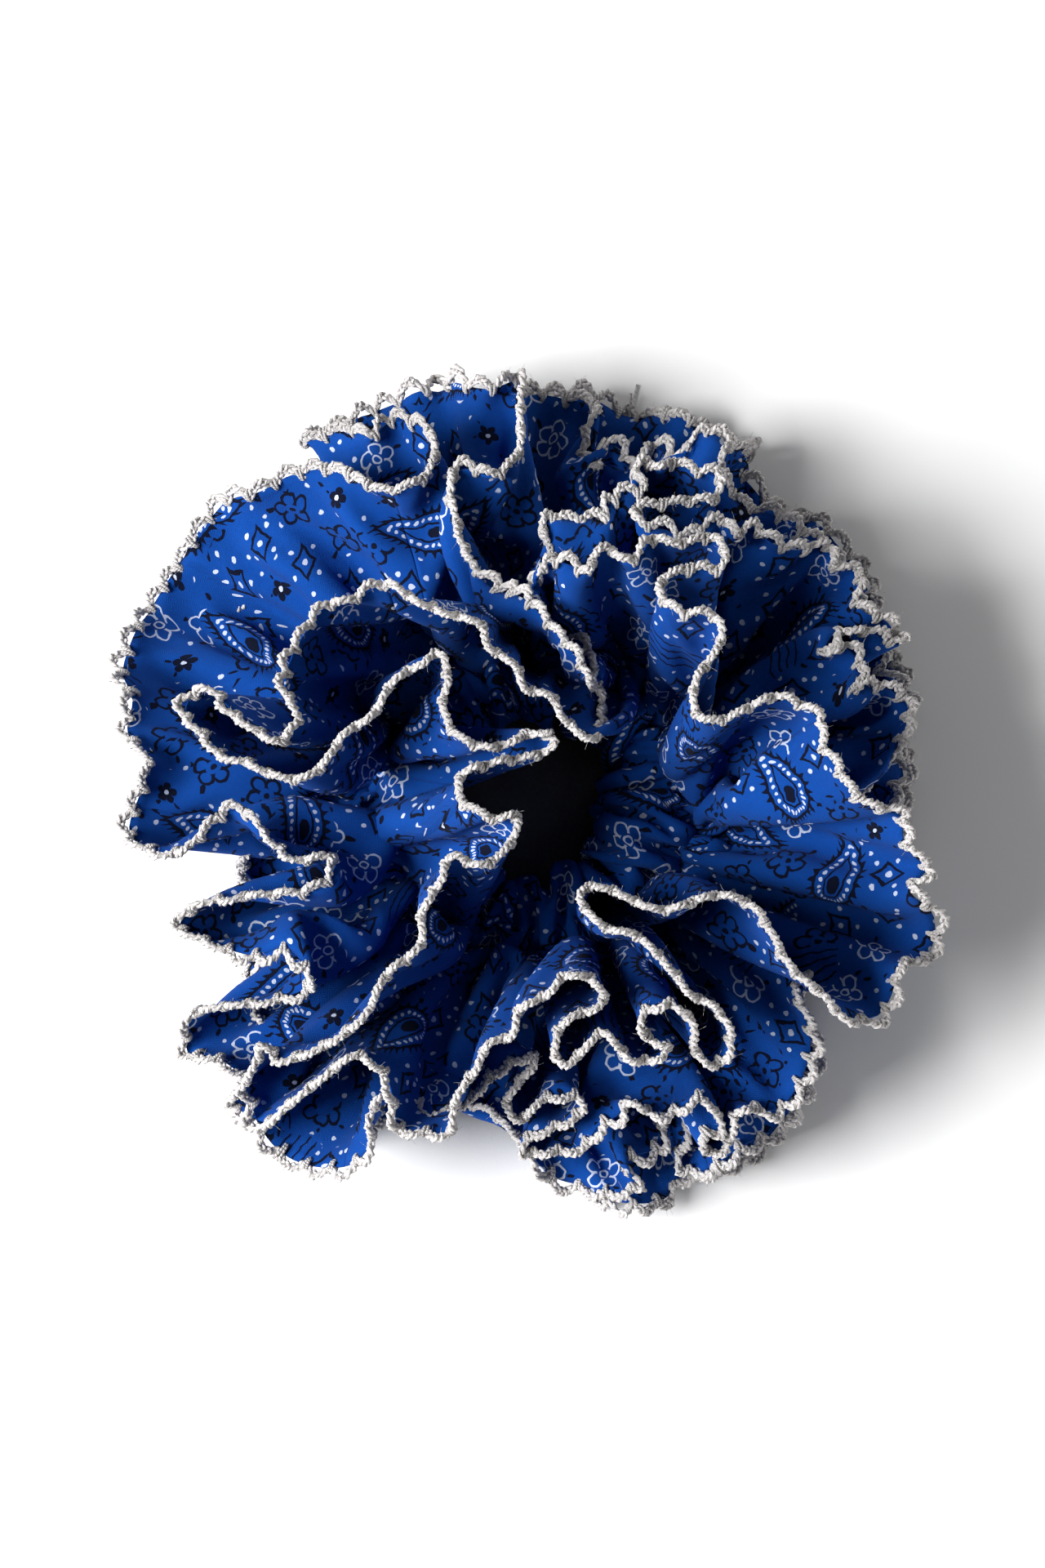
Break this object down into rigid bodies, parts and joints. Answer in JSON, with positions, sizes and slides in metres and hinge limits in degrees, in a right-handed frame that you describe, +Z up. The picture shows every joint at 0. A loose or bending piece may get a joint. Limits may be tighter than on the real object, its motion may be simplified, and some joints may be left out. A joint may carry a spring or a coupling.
{
  "type": "ruffled hair scrunchie",
  "caption": "Oversized ruffled hair scrunchie: printed cotton frills with crocheted yarn edges on a ring that stretches.",
  "frame": {"origin": "centre of the ring, on the surface that the lowest edging rests on", "axes": "+Z up along the ring's axis, +X and +Y across the ring"},
  "size_m": [0.1748, 0.1746, 0.0695],
  "materials": {
    "blue_cotton": "matte",
    "white_yarn": "matte",
    "white_elastic": "matte",
    "blue_thread": "satin"
  },
  "bodies": {
    "sector_1": {"bottom_edging_1": "white_yarn", "channel_stitching_1": "blue_thread", "elastic_band_1": "white_elastic", "inner_strip_1": "blue_cotton", "lower_middle_edging_1": "white_yarn", "outer_strip_1": "blue_cotton", "top_edging_1": "white_yarn", "upper_middle_edging_1": "white_yarn"},
    "sector_2": {"bottom_edging_2": "white_yarn", "channel_stitching_2": "blue_thread", "elastic_band_2": "white_elastic", "inner_strip_2": "blue_cotton", "lower_middle_edging_2": "white_yarn", "outer_strip_2": "blue_cotton", "top_edging_2": "white_yarn", "upper_middle_edging_2": "white_yarn"},
    "sector_3": {"bottom_edging_3": "white_yarn", "channel_stitching_3": "blue_thread", "elastic_band_3": "white_elastic", "inner_strip_3": "blue_cotton", "lower_middle_edging_3": "white_yarn", "outer_strip_3": "blue_cotton", "top_edging_3": "white_yarn", "upper_middle_edging_3": "white_yarn"},
    "sector_4": {"bottom_edging_4": "white_yarn", "channel_stitching_4": "blue_thread", "elastic_band_4": "white_elastic", "inner_strip_4": "blue_cotton", "lower_middle_edging_4": "white_yarn", "outer_strip_4": "blue_cotton", "top_edging_4": "white_yarn", "upper_middle_edging_4": "white_yarn"},
    "sector_5": {"bottom_edging_5": "white_yarn", "channel_stitching_5": "blue_thread", "elastic_band_5": "white_elastic", "inner_strip_5": "blue_cotton", "lower_middle_edging_5": "white_yarn", "outer_strip_5": "blue_cotton", "top_edging_5": "white_yarn", "upper_middle_edging_5": "white_yarn"},
    "sector_6": {"bottom_edging_6": "white_yarn", "channel_stitching_6": "blue_thread", "elastic_band_6": "white_elastic", "inner_strip_6": "blue_cotton", "lower_middle_edging_6": "white_yarn", "outer_strip_6": "blue_cotton", "top_edging_6": "white_yarn", "upper_middle_edging_6": "white_yarn"},
    "elastic_join": {"elastic_overlap_end": "white_elastic", "elastic_join_stitching": "blue_thread", "closing_stitching": "blue_thread"}
  },
  "joints": [
    {"name": "stretch", "type": "slide", "parent": "sector_1", "child": "sector_2", "axis": [-0.5, 0.866, 0], "range_m": [0, 0.026], "stiffness_N_per_m": 1200},
    {"name": "stretch_3", "type": "slide", "parent": "sector_2", "child": "sector_3", "axis": [-1, 0, 0], "range_m": [0, 0.026]},
    {"name": "stretch_4", "type": "slide", "parent": "sector_3", "child": "sector_4", "axis": [-0.5, -0.866, 0], "range_m": [0, 0.026]},
    {"name": "stretch_5", "type": "slide", "parent": "sector_4", "child": "sector_5", "axis": [0.5, -0.866, 0], "range_m": [0, 0.026]},
    {"name": "stretch_6", "type": "slide", "parent": "sector_5", "child": "sector_6", "axis": [1, 0, 0], "range_m": [0, 0.026]},
    {"name": "stretch_join", "type": "slide", "parent": "sector_6", "child": "elastic_join", "axis": [0.5, 0.866, 0], "range_m": [0, 0.026]}
  ],
  "couplings": [
    {"joint": "stretch_3", "follows": "stretch", "ratio": 1},
    {"joint": "stretch_4", "follows": "stretch", "ratio": 1},
    {"joint": "stretch_5", "follows": "stretch", "ratio": 1},
    {"joint": "stretch_6", "follows": "stretch", "ratio": 1},
    {"joint": "stretch_join", "follows": "stretch", "ratio": 1}
  ]
}
